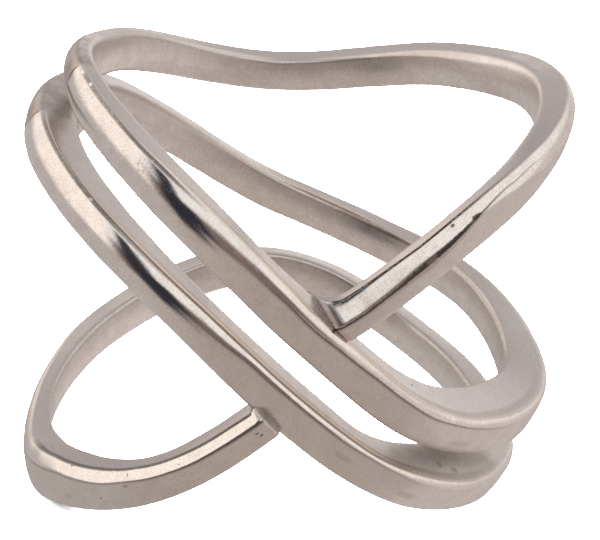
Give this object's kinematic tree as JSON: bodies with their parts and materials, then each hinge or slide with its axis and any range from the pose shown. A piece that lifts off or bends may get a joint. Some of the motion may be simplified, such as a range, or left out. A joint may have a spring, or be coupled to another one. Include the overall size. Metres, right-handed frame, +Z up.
{
  "type": "cut-out ring",
  "caption": "Silver finger ring of flat-sided, domed wire wound in open crossing loops, its ends soldered to the bands that cross the front.",
  "frame": {"origin": "on the floor under the middle of the ring's box", "axes": "+Z up from the floor the ring lies on, close to the finger hole's axis; -Y is the front, where the bands cross; +X is the right of the front"},
  "size_m": [0.0222, 0.0214, 0.0183],
  "materials": {
    "silver": "silver, satin on the flat sides and polished on the domed outer face, lightly scratched and tarnished"
  },
  "bodies": {
    "root": {"band": "silver"}
  },
  "joints": []
}
